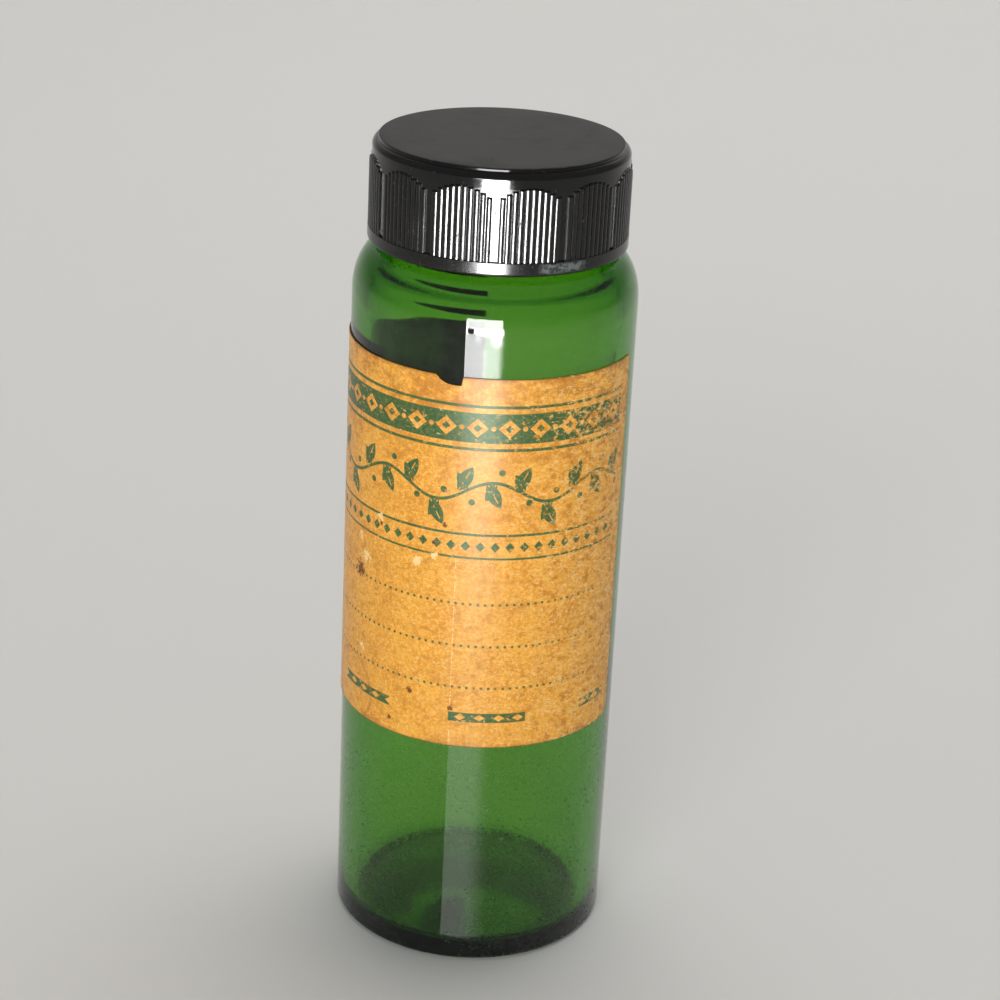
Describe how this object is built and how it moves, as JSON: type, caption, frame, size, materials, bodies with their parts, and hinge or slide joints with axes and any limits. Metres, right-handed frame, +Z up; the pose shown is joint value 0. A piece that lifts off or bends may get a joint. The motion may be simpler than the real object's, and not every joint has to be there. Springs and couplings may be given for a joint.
{
  "type": "prescription bottle",
  "caption": "Small round green glass prescription bottle with a rounded shoulder, wrap-round paper label and ribbed black screw cap.",
  "frame": {"origin": "centre of the base on the surface the bottle stands on", "axes": "+Z up along the bottle's axis, -Y to the front, which the picture shows, +X to the right of the front"},
  "size_m": [0.0338, 0.0339, 0.0994],
  "materials": {
    "green_glass": "clear green moulded glass, glossy, with fine surface dust and wear",
    "label_paper": "aged orange-tan paper, matt, scuffed and stained, with plain green print",
    "waxed_paper": "smooth waxed paper, slight shine",
    "pulpboard": "matt grey-brown pulpboard",
    "black_plastic": "moulded black plastic, glossy, top slightly dulled by handling"
  },
  "bodies": {
    "bottle": {"glass_bottle": "green_glass", "paper_label": "label_paper"},
    "liner": {"liner_facing": "waxed_paper", "liner_backing": "pulpboard"},
    "cap": {"cap_shell": "black_plastic"}
  },
  "joints": [
    {"name": "cap_lift", "type": "slide", "parent": "bottle", "child": "liner", "axis": [0, 0, 1], "range_m": [0, 0.0128]},
    {"name": "cap_turn", "type": "hinge", "parent": "liner", "child": "cap", "pos_m": [0, 0, 0.09645], "axis": [0, 0, 1], "range_deg": [0, 1080]}
  ],
  "couplings": [
    {"joint": "cap_lift", "follows": "cap_turn", "m_per_rad": 0.0006737}
  ]
}
